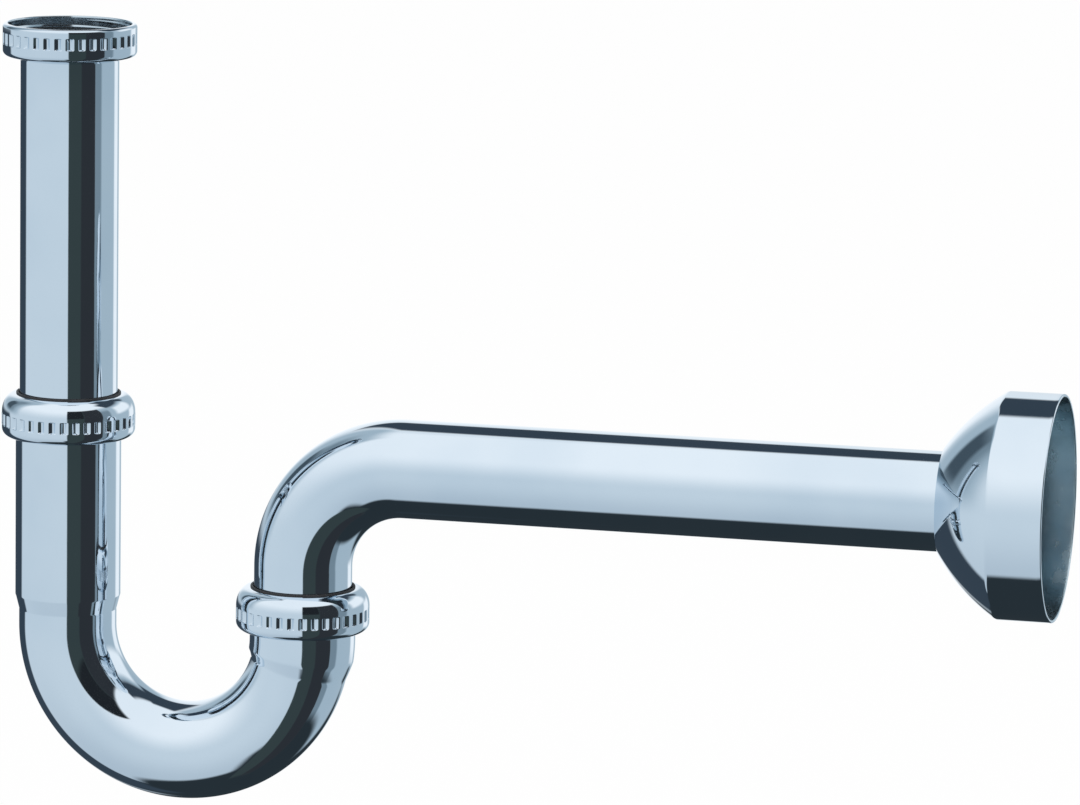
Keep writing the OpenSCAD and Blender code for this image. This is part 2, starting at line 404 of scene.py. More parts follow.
@dataclass(frozen=True)
class Corner:
    """One corner of a turned section: distance from the axis, height and rounding radius."""

    r: float
    z: float
    rounding: float = 0.0


def turned(section: Sequence[Corner], steps: int = 256, arc: int = 8) -> bmesh.types.BMesh:
    """Rounds a closed section's corners and spins it round the Z axis.

    Args:
        section: the corners, in order round the section.
        steps: how many steps the whole turn takes, a multiple of SECTORS.
        arc: how many edges a rounding gets; small ones get fewer.

    Returns:
        The closed turned shape.
    """
    bm = bmesh.new()
    verts = [bm.verts.new((c.r, 0.0, c.z)) for c in section]
    bm.faces.new(verts)
    count = len(section)
    for i in sorted(range(count), key=lambda k: -section[k].rounding):
        if section[i].rounding <= 0:
            continue
        here = Vector((section[i].r, section[i].z))
        back = here - Vector((section[i - 1].r, section[i - 1].z))
        on = Vector((section[(i + 1) % count].r, section[(i + 1) % count].z)) - here
        bmesh.ops.bevel(
            bm,
            geom=[verts[i]],
            offset=section[i].rounding * math.tan(abs(back.angle(on)) / 2),
            offset_type="ABSOLUTE",
            segments=arc if section[i].rounding > 0.9 else 3,
            profile=0.5,
            affect="VERTICES",
            material=-1,
            clamp_overlap=False,
        )
    bmesh.ops.delete(bm, geom=bm.faces[:], context="FACES_ONLY")
    bmesh.ops.spin(
        bm,
        geom=bm.verts[:] + bm.edges[:],
        axis=Z_AXIS,
        cent=(0.0, 0.0, 0.0),
        dvec=(0.0, 0.0, 0.0),
        angle=FULL_TURN / SECTORS,
        steps=steps // SECTORS,
        use_merge=False,
    )
    sector = bm.verts[:] + bm.edges[:] + bm.faces[:]
    for i in range(1, SECTORS):
        copied = bmesh.ops.duplicate(bm, geom=sector)["geom"]
        bmesh.ops.rotate(
            bm,
            cent=(0.0, 0.0, 0.0),
            matrix=Matrix.Rotation(i * FULL_TURN / SECTORS, 3, "Z"),
            verts=[part for part in copied if isinstance(part, bmesh.types.BMVert)],
        )
    bmesh.ops.remove_doubles(bm, verts=bm.verts[:], dist=1e-4)
    bmesh.ops.recalc_face_normals(bm, faces=bm.faces[:])
    return bm


def mark_inside(bm: bmesh.types.BMesh) -> None:
    """Gives the faces that look towards the Z axis the second material."""
    for face in bm.faces:
        middle = face.calc_center_median()
        outward = Vector((middle.x, middle.y, 0.0)).normalized()
        face.material_index = 1 if face.normal.dot(outward) < -0.3 else 0


def joined(bm: bmesh.types.BMesh, other: bmesh.types.BMesh) -> None:
    """Adds a second mesh to the first and frees it."""
    spare = bpy.data.meshes.new("spare")
    other.to_mesh(spare)
    other.free()
    bm.from_mesh(spare)
    bpy.data.meshes.remove(spare)


@dataclass(frozen=True)
class Thread:
    """A pipe thread's ridge, wound right-handed with both ends run out into the wall."""

    root_r: float
    crest_r: float
    low: float
    high: float
    pitch: float = 2.309
    base_w: float = 1.9
    crest_w: float = 0.5
    sink: float = 0.12
    fade: float = 0.7
    steps_a_turn: int = 120

    def build(self) -> bmesh.types.BMesh:
        """Winds a small trapezoid along the helix and closes its ends."""
        inward = math.copysign(1.0, self.crest_r - self.root_r)
        foot = self.root_r - inward * self.sink
        turns = (self.high - self.low - self.base_w) / self.pitch
        steps = round(turns * self.steps_a_turn)
        bm = bmesh.new()
        start = self.low + self.base_w / 2
        ends = [
            (foot, start - self.base_w / 2),
            (self.crest_r, start - self.crest_w / 2),
            (self.crest_r, start + self.crest_w / 2),
            (foot, start + self.base_w / 2),
        ]
        bm.faces.new([bm.verts.new((r, 0.0, z)) for r, z in ends])
        bmesh.ops.delete(bm, geom=bm.faces[:], context="FACES_ONLY")
        bmesh.ops.spin(
            bm,
            geom=bm.verts[:] + bm.edges[:],
            axis=Z_AXIS,
            cent=(0.0, 0.0, 0.0),
            dvec=(0.0, 0.0, turns * self.pitch / steps),
            angle=turns * FULL_TURN,
            steps=steps,
            use_merge=False,
        )
        rims = [edge for edge in bm.edges if edge.is_boundary]
        bmesh.ops.holes_fill(bm, edges=rims, sides=0)
        self._run_out(bm, foot, turns)
        bmesh.ops.recalc_face_normals(bm, faces=bm.faces[:])
        return bm

    def _run_out(self, bm: bmesh.types.BMesh, foot: float, turns: float) -> None:
        """Sinks the crest into the wall over the last part of a turn at both ends.

        Args:
            bm: the wound ridge.
            foot: the radius at which the ridge starts inside the wall.
            turns: how many turns the ridge makes.
        """
        lift = self.low + self.base_w / 2
        for vert in bm.verts:
            r = math.hypot(vert.co.x, vert.co.y)
            if abs(r - foot) < 1e-3:
                continue
            along = self._turn_of(vert.co, lift)
            share = min(1.0, max(0.0, min(along, turns - along) / self.fade))
            target = foot + (self.crest_r - foot) * share
            vert.co.x *= target / r
            vert.co.y *= target / r

    def _turn_of(self, place: Vector, lift: float) -> float:
        """How many turns along the ridge a point is, from its angle and the nearest whole turn."""
        part = (math.atan2(place.y, place.x) / FULL_TURN) % 1.0
        return part + round((place.z - lift) / self.pitch - part)


@dataclass(frozen=True)
class Flutes:
    """A band of grip flutes with flat flanks, pressed in a nut's side."""

    top: float
    phase: float
    count: int = 36
    width: float = 2.4
    depth: float = 0.75
    flank: float = 38.0
    height: float = 4.0
    run_out: float = 0.4

    def heights(self, side_low: float, side_high: float) -> list[float]:
        """Heights at which the nut's side needs corners, from the top down.

        Args:
            side_low: the lower end of the straight side.
            side_high: its upper end.

        Returns:
            The heights strictly inside the side.
        """
        shares = (-0.25, 0.0, 0.12, 0.3, 0.55, 0.8, 1.0)
        upper = [self.top - self.run_out * share for share in shares]
        lower = [2 * self.top - self.height - z for z in reversed(upper)]
        middle = [self.top - self.height / 2]
        return [z for z in upper + middle + lower if side_low + 0.05 < z < side_high - 0.05]

    def cut(self, bm: bmesh.types.BMesh, nut_r: float) -> None:
        """Presses the flutes into the side of a turned nut.

        Args:
            bm: the nut, turned round the Z axis in steps of half a degree or so.
            nut_r: the radius of its side.
        """
        slope = math.tan(math.radians(self.flank))
        pitch = FULL_TURN / self.count
        low = self.top - self.height
        for vert in bm.verts:
            r = math.hypot(vert.co.x, vert.co.y)
            inside = low - 1e-4 < vert.co.z < self.top + 1e-4
            if abs(r - nut_r) > 0.05 or not inside:
                continue
            angle = math.atan2(vert.co.y, vert.co.x) - math.radians(self.phase)
            off = (angle + pitch / 2) % pitch - pitch / 2
            deep = min(self.depth, (self.width / 2 - abs(r * math.sin(off))) * slope)
            if deep <= 0:
                continue
            end = min(self.top - vert.co.z, vert.co.z - low) / self.run_out
            end = min(1.0, max(0.0, end))
            scale = (r - deep * end * end * (3 - 2 * end)) / r
            vert.co.x *= scale
            vert.co.y *= scale


class PipeRun:
    """The outer skin of a drawn tube, laid ring by ring along its axis."""

    SUPPORT = 0.35

    def __init__(self, radius: float, start: Sequence[float], heading: Sequence[float],
                 sides: int = 144) -> None:
        """Lays the first ring.

        Args:
            radius: its radius.
            start: its centre.
            heading: the direction in which the run sets out.
            sides: how many sides the tube has.
        """
        self.radius = radius
        self.centre = Vector(start)
        self.heading = Vector(heading).normalized()
        self.bm = bmesh.new()
        turn = Z_AXIS.rotation_difference(self.heading).to_matrix().to_4x4()
        made = bmesh.ops.create_circle(
            self.bm,
            cap_ends=False,
            segments=sides,
            radius=radius,
            matrix=Matrix.Translation(self.centre) @ turn,
        )
        self.ring = made["verts"]
        self.ring_edges = self.bm.edges[:]

    def _next_ring(self) -> None:
        """Extrudes the last ring in place."""
        made = bmesh.ops.extrude_edge_only(self.bm, edges=self.ring_edges)["geom"]
        self.ring = [part for part in made if isinstance(part, bmesh.types.BMVert)]
        fresh = set(self.ring)
        edges = (part for part in made if isinstance(part, bmesh.types.BMEdge))
        self.ring_edges = [edge for edge in edges if fresh.issuperset(edge.verts)]

    def _resize(self, radius: float) -> None:
        """Scales the last ring about its centre."""
        share = radius / self.radius
        bmesh.ops.scale(
            self.bm,
            vec=(share, share, share),
            space=Matrix.Translation(-self.centre),
            verts=self.ring,
        )
        self.radius = radius

    def onward(self, length: float, radius: float | None = None) -> "PipeRun":
        """Lays one ring further on, of the same or another radius."""
        self._next_ring()
        step = self.heading * length
        bmesh.ops.translate(self.bm, vec=step, verts=self.ring)
        self.centre += step
        if radius is not None:
            self._resize(radius)
        return self

    def straight(self, length: float) -> "PipeRun":
        """Lays a straight stretch with a support ring near each end."""
        for part in (self.SUPPORT, length - 2 * self.SUPPORT, self.SUPPORT):
            self.onward(part)
        return self

    def cone(self, length: float, radius: float, lead: float = 0.4) -> "PipeRun":
        """Lays a plain cone whose two ends are slightly rounded.

        Args:
            length: its length along the axis.
            radius: the radius at its far end.
            lead: the length over which each end is rounded.
        """
        first = self.radius
        slope = (radius - first) / length
        self.onward(lead / 2, first + slope * lead * 0.2)
        self.onward(lead / 2, first + slope * lead)
        self.onward(length - 2 * lead, radius - slope * lead)
        self.onward(lead / 2, radius - slope * lead * 0.2)
        self.onward(lead / 2, radius)
        return self

    def bend(self, pivot: Sequence[float], axis: Sequence[float], degrees: float,
             radius_at: Callable[[float], float] | None = None, step: float = 1.5) -> "PipeRun":
        """Lays a bend.

        Args:
            pivot: a point on the axis of the bend.
            axis: the direction of that axis.
            degrees: how far the bend turns.
            radius_at: the tube's radius after so many degrees, if it changes.
            step: the turn between two rings.

        Returns:
            The run itself.
        """
        rings = round(degrees / step)
        turn = Matrix.Rotation(math.radians(degrees / rings), 3, Vector(axis))
        middle = Vector(pivot)
        for i in range(1, rings + 1):
            self._next_ring()
            bmesh.ops.rotate(self.bm, cent=middle, matrix=turn, verts=self.ring)
            self.centre = middle + turn @ (self.centre - middle)
            self.heading = turn @ self.heading
            if radius_at is not None:
                self._resize(radius_at(i * degrees / rings))
        return self

    def skin(self) -> bmesh.types.BMesh:
        """The finished outer skin, its faces turned outwards."""
        self.bm.normal_update()
        face = self.bm.faces[:][0] if self.bm.faces else None
        bmesh.ops.recalc_face_normals(self.bm, faces=self.bm.faces[:])
        if face is not None and not self._looks_out():
            bmesh.ops.reverse_faces(self.bm, faces=self.bm.faces[:])
        return self.bm

    def _looks_out(self) -> bool:
        """Whether a face of the last ring looks away from the run's end."""
        last = set(self.ring)
        face = next(f for f in self.bm.faces if len(last & set(f.verts)) == 2)
        self.bm.normal_update()
        outward = face.calc_center_median() - self.centre
        outward -= self.heading * outward.dot(self.heading)
        return face.normal.dot(outward) > 0


# ---------------------------------------------------------------- delivery


@dataclass(frozen=True)
class Wall:
    """The wall that a skin gets: thickness, inner material and rounded rims."""

    thickness: float
    rim: float = 0.22


@dataclass(frozen=True)
class Piece:
    """Where a finished piece belongs."""

    name: str
    body: str
    node: str
    slot: Slot

    def deliver(self, bm: bmesh.types.BMesh, finishes: Iterable[bpy.types.Material],
                wall: Wall | None = None) -> bpy.types.Object:
        """Turns a modelled mesh into the piece that stands for a CAD node.

        Args:
            bm: the mesh, in millimetres, which is freed.
            finishes: its materials in order.
            wall: the wall that the mesh gets, if it is only a skin.

        Returns:
            The new object, riding on its body.
        """
        bmesh.ops.transform(bm, matrix=TO_METRES, verts=bm.verts[:])
        mesh = bpy.data.meshes.new(self.name)
        bm.to_mesh(mesh)
        bm.free()
        for finish in finishes:
            mesh.materials.append(finish)
        mesh.shade_smooth()
        mesh.set_sharp_from_angle(angle=math.radians(38))
        made = bpy.data.objects.new(self.name, mesh)
        bpy.context.scene.collection.objects.link(made)
        if wall is not None:
            self._thicken(made, wall)
        weighted = made.modifiers.new("even_normals", "WEIGHTED_NORMAL")
        weighted.keep_sharp = True
        weighted.weight = 80
        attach(made, self.body)
        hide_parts(self.node)
        LOG.info("%s: %d faces on %s for %s", self.name, len(mesh.polygons), self.body, self.node)
        return made

    @staticmethod
    def _thicken(made: bpy.types.Object, wall: Wall) -> None:
        """Gives a skin its wall inwards and rounds the rims."""
        solid = made.modifiers.new("wall", "SOLIDIFY")
        solid.thickness = wall.thickness * MM
        solid.offset = -1.0
        solid.use_even_offset = True
        solid.use_quality_normals = True
        solid.material_offset = 1
        solid.material_offset_rim = 0
        rim = made.modifiers.new("rims", "BEVEL")
        rim.width = wall.rim * MM
        rim.segments = 3
        rim.limit_method = "ANGLE"
        rim.angle_limit = math.radians(55)
        rim.harden_normals = False


# ---------------------------------------------------------------- sub-assemblies


@dataclass
class InletUnion:
    """The fluted union nut on the basin waste and its flat gasket."""

    nut_r: float = 21.8
    height: float = 11.5
    side_h: float = 10.2
    hole_r: float = 16.3
    thread_r: float = 20.0
    thread_h: float = 5.6
    runout: float = 0.4
    runout_h: float = 0.9
    seat_r: float = 19.2
    seat_z: float = 8.6
    gasket_r: float = 18.9
    gasket_hole: float = 15.3
    gasket_low: float = 7.5
    gasket_t: float = 1.8
    rim_rounding: float = 1.2
    foot_rounding: float = 1.8
    flutes: Flutes = field(default_factory=lambda: Flutes(top=-2.7, phase=7.5))

    def nut(self) -> bmesh.types.BMesh:
        """Turns the nut, presses its flutes and winds its thread."""
        side_low = -self.side_h + self.foot_rounding
        side = [Corner(self.nut_r, z) for z in self.flutes.heights(side_low, -self.rim_rounding)]
        section = [
            Corner(self.thread_r + 0.15, 0.0, 0.25),
            Corner(self.nut_r, 0.0, self.rim_rounding),
            *side,
            Corner(self.nut_r, -self.side_h, self.foot_rounding),
            Corner(self.hole_r + 0.7, -self.height, 0.3),
            Corner(self.hole_r, -self.height, 0.2),
            Corner(self.hole_r, -self.seat_z),
            Corner(self.seat_r, -self.seat_z),
            Corner(self.seat_r, -self.thread_h - self.runout_h - self.runout),
            Corner(self.thread_r + self.runout, -self.thread_h - self.runout_h),
            Corner(self.thread_r + self.runout, -self.thread_h),
            Corner(self.thread_r, -self.thread_h + self.runout),
            Corner(self.thread_r, -0.6),
        ]
        bm = turned(section, steps=720)
        self.flutes.cut(bm, self.nut_r)
        mark_inside(bm)
        thread = Thread(self.thread_r, self.thread_r - 0.62, -self.thread_h + 0.3, -0.25)
        ridge = thread.build()
        for face in ridge.faces:
            face.material_index = 1
        joined(bm, ridge)
        return bm

    def gasket(self) -> bmesh.types.BMesh:
        """Turns the flat gasket with a faint bead at its middle."""
        low, high = -self.gasket_low, -self.gasket_low + self.gasket_t
        middle = (self.gasket_hole + self.gasket_r) / 2
        return turned(
            [
                Corner(self.gasket_hole, low, 0.2),
                Corner(self.gasket_r, low, 0.2),
                Corner(self.gasket_r, high, 0.35),
                Corner(middle + 0.6, high - 0.12),
                Corner(middle, high, 0.3),
                Corner(middle - 0.6, high - 0.12),
                Corner(self.gasket_hole, high, 0.35),
            ]
        )

    def build(self, palette: Palette) -> None:
        """Makes and dresses the nut and the gasket."""
        Piece("union_nut", "inlet_union", "inlet_nut", Slot.CHROME).deliver(
            self.nut(), (palette.turned, palette.inside)
        )
        Piece("union_gasket", "drop", "inlet_gasket", Slot.RUBBER).deliver(
            self.gasket(), (palette.rubber,)
        )


@dataclass
class DropTube:
    """The straight tube from the basin waste down into the inlet socket."""

    tube_r: float = 16.0
    bore_r: float = 15.0
    flange_r: float = 18.9
    flange_top: float = -7.5
    flange_t: float = 1.0
    low: float = -168.0

    def tube(self) -> bmesh.types.BMesh:
        """Turns the tube with its flange and rounded lower rim."""
        bm = turned(
            [
                Corner(self.bore_r, self.low, 0.25),
                Corner(self.bore_r, self.low + 2.0),
                Corner(self.bore_r, self.flange_top - 3.0),
                Corner(self.bore_r, self.flange_top, 0.6),
                Corner(self.flange_r, self.flange_top, 0.3),
                Corner(self.flange_r, self.flange_top - self.flange_t, 0.3),
                Corner(self.tube_r, self.flange_top - self.flange_t, 0.25),
                Corner(self.tube_r, self.flange_top - self.flange_t - 2.0),
                Corner(self.tube_r, self.low + 2.0),
                Corner(self.tube_r, self.low, 0.45),
            ]
        )
        mark_inside(bm)
        return bm

    def build(self, palette: Palette) -> None:
        """Makes and dresses the tube."""
        Piece("drop_pipe", "drop", "drop_tube", Slot.CHROME).deliver(
            self.tube(), (palette.upright, palette.inside)
        )


@dataclass
class SlipJoint:
    """A slip joint: crowned nut, slip ring, tapered seal and the socket's threaded collar."""

    leg: Leg
    x: float
    top: float
    seal_body: str
    flutes_phase: float
    nut_r: float = 21.8
    nut_h: float = 16.0
    crown_drop: float = 1.9
    crown_w: float = 4.4
    crown_h: float = 6.0
    crown_steps: int = 14
    lip_r: float = 17.1
    lip_top: float = 1.35
    foot_r: float = 2.8
    hole_r: float = 16.3
    thread_r: float = 18.92
    shoulder: float = 2.5
    ring_r: float = 18.62
    ring_top: float = 2.6
    ring_t: float = 1.5
    seal_top: float = 4.2
    seal_lip: float = 1.1
    seal_skirt: float = 2.2
    seal_r: float = 16.1
    skirt_r: float = 17.26
    skirt_end_r: float = 16.63
    collar_top: float = 9.7
    collar_h: float = 5.6
    collar_ri: float = 17.3
    flutes_top: float = -8.1

    def _placed(self, bm: bmesh.types.BMesh) -> bmesh.types.BMesh:
        """Moves a shape from the joint's own height 0 to its place on the leg."""
        bmesh.ops.translate(bm, vec=(self.x, 0.0, self.top), verts=bm.verts[:])
        return bm

    def _crown(self) -> list[Corner]:
        """The crown's section, a quarter of an ellipse from beside the tube out to the side."""
        turns = [math.pi / 2 * (1 - i / self.crown_steps) for i in range(self.crown_steps + 1)]
        return [
            Corner(
                self.nut_r - self.crown_w * (1 - math.cos(turn)),
                -self.crown_drop - self.crown_h * (1 - math.sin(turn)),
            )
            for turn in turns
        ]

    def _paint_lip_shadow(self, bm: bmesh.types.BMesh) -> None:
        """Paints shade: gives the raised lip round the tube the third material, black, as a painted
        contact shadow where the tube enters the nut.
        """
        for face in bm.faces:
            middle = face.calc_center_median()
            if math.hypot(middle.x, middle.y) < self.lip_r + 0.05 and middle.z > -self.crown_drop:
                face.material_index = 2

    def nut(self) -> bmesh.types.BMesh:
        """Turns the crowned nut, presses its flutes and winds its thread."""
        side_low = -self.nut_h + self.foot_r
        side_high = -self.crown_drop - self.crown_h
        flutes = Flutes(self.flutes_top, self.flutes_phase)
        side = [Corner(self.nut_r, z) for z in flutes.heights(side_low, side_high)]
        section = [
            Corner(self.hole_r, -self.lip_top, 0.2),
            Corner(self.lip_r, -self.lip_top, 0.3),
            Corner(self.lip_r, -self.crown_drop),
            *self._crown(),
            *side,
            Corner(self.nut_r, -self.nut_h, self.foot_r),
            Corner(self.thread_r + 0.05, -self.nut_h),
            Corner(self.thread_r, -self.nut_h + 0.6),
            Corner(self.thread_r, -self.shoulder),
            Corner(self.hole_r, -self.shoulder),
        ]
        bm = turned(section, steps=720)
        flutes.cut(bm, self.nut_r)
        mark_inside(bm)
        # painted shade: the lip round the tube turns black as the contact shadow between tube and nut
        self._paint_lip_shadow(bm)
        thread = Thread(
            self.thread_r, self.thread_r - 0.24, -self.nut_h + 0.5, -self.collar_top + 0.6,
        )
        ridge = thread.build()
        for face in ridge.faces:
            face.material_index = 1
        joined(bm, ridge)
        return self._placed(bm)

    def ring(self) -> bmesh.types.BMesh:
        """Turns the plastic slip ring."""
        low = -self.ring_top - self.ring_t
        return self._placed(
            turned(
                [
                    Corner(self.hole_r, low, 0.3),
                    Corner(self.ring_r, low, 0.3),
                    Corner(self.ring_r, -self.ring_top, 0.3),
                    Corner(self.hole_r, -self.ring_top, 0.3),
                ]
            )
        )

    def seal(self) -> bmesh.types.BMesh:
        """Turns the seal: a flat lip with a tapered skirt under it."""
        lip = -self.seal_top - self.seal_lip
        end = lip - self.seal_skirt
        return self._placed(
            turned(
                [
                    Corner(self.seal_r, end, 0.15),
                    Corner(self.skirt_end_r, end, 0.15),
                    Corner(self.skirt_r, lip, 0.2),
                    Corner(self.ring_r, lip, 0.3),
                    Corner(self.ring_r, -self.seal_top, 0.3),
                    Corner(self.seal_r, -self.seal_top, 0.3),
                ]
            )
        )

    def collar(self) -> bmesh.types.BMesh:
        """Turns the collar to the thread's root and winds the male thread on it."""
        high = -self.collar_top
        low = high - self.collar_h
        root = self.ring_r - 0.55
        bm = turned(
            [
                Corner(self.collar_ri, low, 0.1),
                Corner(root, low, 0.3),
                Corner(root, high, 0.3),
                Corner(self.collar_ri, high, 0.1),
            ]
        )
        joined(bm, Thread(root, self.ring_r, low, high).build())
        return self._placed(bm)

    def build(self, palette: Palette) -> None:
        """Makes and dresses the joint's four pieces."""
        leg = self.leg.value
        metal = (palette.turned, palette.inside)
        made = (
            # the slip nut's third finish, black rubber, is painted shade: the contact shadow on its lip
            # round the tube
            (Piece(f"{leg}_slip_nut", f"{leg}_nut_body", f"{leg}_joint_nut", Slot.CHROME),
             self.nut(), (*metal, palette.rubber)),
            (Piece(f"{leg}_ring", f"{leg}_ring", f"{leg}_slip_ring", Slot.PLASTIC),
             self.ring(), (palette.plastic,)),
            (Piece(f"{leg}_tapered_seal", self.seal_body, f"{leg}_seal", Slot.RUBBER),
             self.seal(), (palette.rubber,)),
            (Piece(f"{leg}_collar", "trap", f"{leg}_thread_collar", Slot.CHROME),
             self.collar(), metal),
        )
        for piece, bm, finishes in made:
            piece.deliver(bm, finishes)


@dataclass
class TrapBend:
    """The U-bend with a drawn socket on each leg."""

    tube_r: float = 16.0
    socket_r: float = 17.26
    mouth_r: float = 18.46
    wall: float = 0.9
    flare_h: float = 4.2
    bend_r: float = 40.0
    spring_z: float = -198.0
    inlet_mouth: float = -124.9
    outlet_mouth: float = -184.4
    step_top: float = -188.0
    step_h: float = 5.0
    outlet_step_arc: float = 7.6

    def _radius_in_bend(self, degrees: float) -> float:
        """The tube's radius so far round the bend, which opens to the outlet socket near its end."""
        to_end = math.radians(180.0 - degrees) * self.bend_r
        share = (self.outlet_step_arc + self.step_h / 2 - to_end) / self.step_h
        share = min(1.0, max(0.0, share))
        knee = 0.12
        if share < knee:
            eased = share * share / (2 * knee)
        elif share > 1 - knee:
            eased = 1 - knee - (1 - share) ** 2 / (2 * knee)
        else:
            eased = share - knee / 2
        return self.tube_r + (self.socket_r - self.tube_r) * eased / (1 - knee)

    def skin(self) -> bmesh.types.BMesh:
        """Lays the outer skin from the inlet socket's mouth to the outlet socket's mouth."""
        run = PipeRun(self.mouth_r, (0.0, 0.0, self.inlet_mouth), (0.0, 0.0, -1.0))
        run.cone(self.flare_h, self.socket_r)
        run.straight(self.inlet_mouth - self.flare_h - self.step_top)
        run.cone(self.step_h, self.tube_r, lead=0.5)
        run.straight(self.step_top - self.step_h - self.spring_z)
        pivot = (self.bend_r, 0.0, self.spring_z)
        run.bend(pivot, (0.0, -1.0, 0.0), 180.0, self._radius_in_bend, step=0.75)
        run.straight(self.outlet_mouth - self.flare_h - self.spring_z)
        run.cone(self.flare_h, self.mouth_r)
        return run.skin()

    def build(self, palette: Palette) -> None:
        """Makes and dresses the bend."""
        Piece("trap_bend", "trap", "u_bend", Slot.CHROME).deliver(
            self.skin(), (palette.upright, palette.inside), Wall(self.wall)
        )


@dataclass
class WallArm:
    """The tube that rises from the outlet socket, turns at the elbow and runs to the wall."""

    tube_r: float = 16.0
    wall: float = 1.0
    leg_x: float = 80.0
    low: float = -198.0
    elbow_z: float = -174.0
    elbow_r: float = 34.0
    end_x: float = 312.0

    def skin(self) -> bmesh.types.BMesh:
        """Lays the outer skin from the lower end to the wall end."""
        run = PipeRun(self.tube_r, (self.leg_x, 0.0, self.low), (0.0, 0.0, 1.0))
        run.straight(self.elbow_z - self.low)
        pivot = (self.leg_x + self.elbow_r, 0.0, self.elbow_z)
        run.bend(pivot, (0.0, 1.0, 0.0), 90.0, step=1.0)
        run.straight(self.end_x - self.leg_x - self.elbow_r)
        return run.skin()

    def build(self, palette: Palette) -> None:
        """Makes and dresses the arm."""
        Piece("wall_arm", "arm", "wall_tube", Slot.CHROME).deliver(
            self.skin(), (palette.level, palette.inside), Wall(self.wall)
        )


@dataclass
class Rosette:
    """The sliding wall rosette with the rubber ring that grips the tube."""

    nose_x: float = 290.2
    axis_z: float = -140.0
    hole_r: float = 16.3
    rim_r: float = 36.25
    wall: float = 1.0
    cone_l: float = 20.0
    length: float = 37.0
    lip: float = 0.3
    nose_rounding: float = 3.0
    shoulder_rounding: float = 1.8
    swell: float = 1.4
    grip_at: float = 2.6
    grip_l: float = 3.0
    grip_ri: float = 16.1
    grip_ro: float = 17.7

    def _cone(self, inset: float) -> tuple[float, float]:
        """Where the cone's line, moved in by an inset, meets the nose and the band.

        Args:
            inset: how far inside the outer surface the line lies.

        Returns:
            The radius at the nose and the place along the axis at the band.
        """
        nose = Vector((self.nose_rounding, self.hole_r + self.lip))
        shoulder = Vector((self.cone_l, self.rim_r - self.shoulder_rounding))
        span = shoulder - nose
        rise = math.atan2(span.y, span.x)
        rise -= math.asin((self.nose_rounding - self.shoulder_rounding) / span.length)
        side = Vector((-math.sin(rise), math.cos(rise)))
        start = nose + side * (self.nose_rounding - inset)
        at_nose = start.y + (inset - start.x) * math.tan(rise)
        at_band = start.x + (self.rim_r - inset - start.y) / math.tan(rise)
        return at_nose, at_band

    def _swelled(self, nose: Corner, band: Corner, steps: int = 14) -> list[Corner]:
        """Corners along the cone, which stands slightly proud of a straight line at its middle.

        Args:
            nose: where the straight cone would start.
            band: where it would end.
            steps: how many parts the line gets.

        Returns:
            The corners between the two ends, from the nose on.
        """
        run, rise = band.z - nose.z, band.r - nose.r
        length = math.hypot(run, rise)
        corners = []
        for i in range(1, steps):
            share = i / steps
            proud = 4 * self.swell * share * (1 - share) / length
            corners.append(
                Corner(nose.r + rise * share + run * proud, nose.z + run * share - rise * proud)
            )
        return corners

    def shell(self) -> bmesh.types.BMesh:
        """Turns the thin shell and lays it along the arm."""
        nose_r, band_at = self._cone(0.0)
        inner_nose_r, inner_band_at = self._cone(self.wall)
        inner_r = self.rim_r - self.wall
        outer = Corner(nose_r, 0.0, 1.2), Corner(self.rim_r, band_at, self.shoulder_rounding)
        inner = Corner(inner_nose_r, self.wall, 0.8), Corner(inner_r, inner_band_at, 0.8)
        bm = turned(
            [
                Corner(self.hole_r, 0.0, 0.25),
                outer[0],
                *self._swelled(*outer),
                outer[1],
                Corner(self.rim_r, self.length - 1.5),
                Corner(self.rim_r, self.length, 0.42),
                Corner(inner_r, self.length, 0.42),
                Corner(inner_r, self.length - 1.5),
                inner[1],
                *reversed(self._swelled(*inner)),
                inner[0],
                Corner(self.hole_r, self.wall, 0.25),
            ],
            steps=320,
            arc=10,
        )
        self._lay(bm)
        self._mark_inner_wall(bm)
        return bm

    def _mark_inner_wall(self, bm: bmesh.types.BMesh) -> None:
        """Gives the faces that look towards the arm's axis or the open end the second material."""
        for face in bm.faces:
            middle = face.calc_center_median()
            outward = Vector((0.0, middle.y, middle.z - self.axis_z)).normalized()
            to_axis = face.normal.dot(outward)
            face.material_index = 1 if to_axis < -0.6 or (to_axis < 0 and face.normal.x > 0.3) else 0

    def _lay(self, bm: bmesh.types.BMesh) -> None:
        """Turns a shape from the Z axis onto the arm's axis."""
        place = Matrix.Translation((self.nose_x, 0.0, self.axis_z)) @ LAY_ALONG_X
        bmesh.ops.transform(bm, matrix=place, verts=bm.verts[:])

    def grip(self) -> bmesh.types.BMesh:
        """Turns the rubber ring with two shallow lips against the tube."""
        start, end = self.grip_at, self.grip_at + self.grip_l
        bm = turned(
            [
                Corner(self.grip_ri, start, 0.2),
                Corner(self.grip_ro, start, 0.4),
                Corner(self.grip_ro, end, 0.4),
                Corner(self.grip_ri, end, 0.2),
                Corner(self.grip_ri + 0.25, (start + end) / 2 + 0.2, 0.1),
                Corner(self.grip_ri + 0.25, (start + end) / 2 - 0.2, 0.1),
            ]
        )
        self._lay(bm)
        return bm

    def build(self, palette: Palette) -> None:
        """Makes and dresses the shell and the grip."""
        Piece("rosette_shell", "rosette", "wall_rosette", Slot.CHROME).deliver(
            self.shell(), (palette.turned, palette.rosette_inside)
        )
        Piece("rosette_grip_ring", "rosette", "rosette_grip", Slot.RUBBER).deliver(
            self.grip(), (palette.rubber,)
        )


# ---------------------------------------------------------------- studio


@dataclass(frozen=True)
class Card:
    """A card or flag round the set, as a soft-edged patch of directions.

    Bearings run from straight in front of the object, towards +X, in degrees. Heights are degrees
    above the horizon.
    """

    bearing: tuple[float, float]
    height: tuple[float, float]
    tone: tuple[float, float, float]
    blur: float = 2.0
    height_blur: float = 6.0


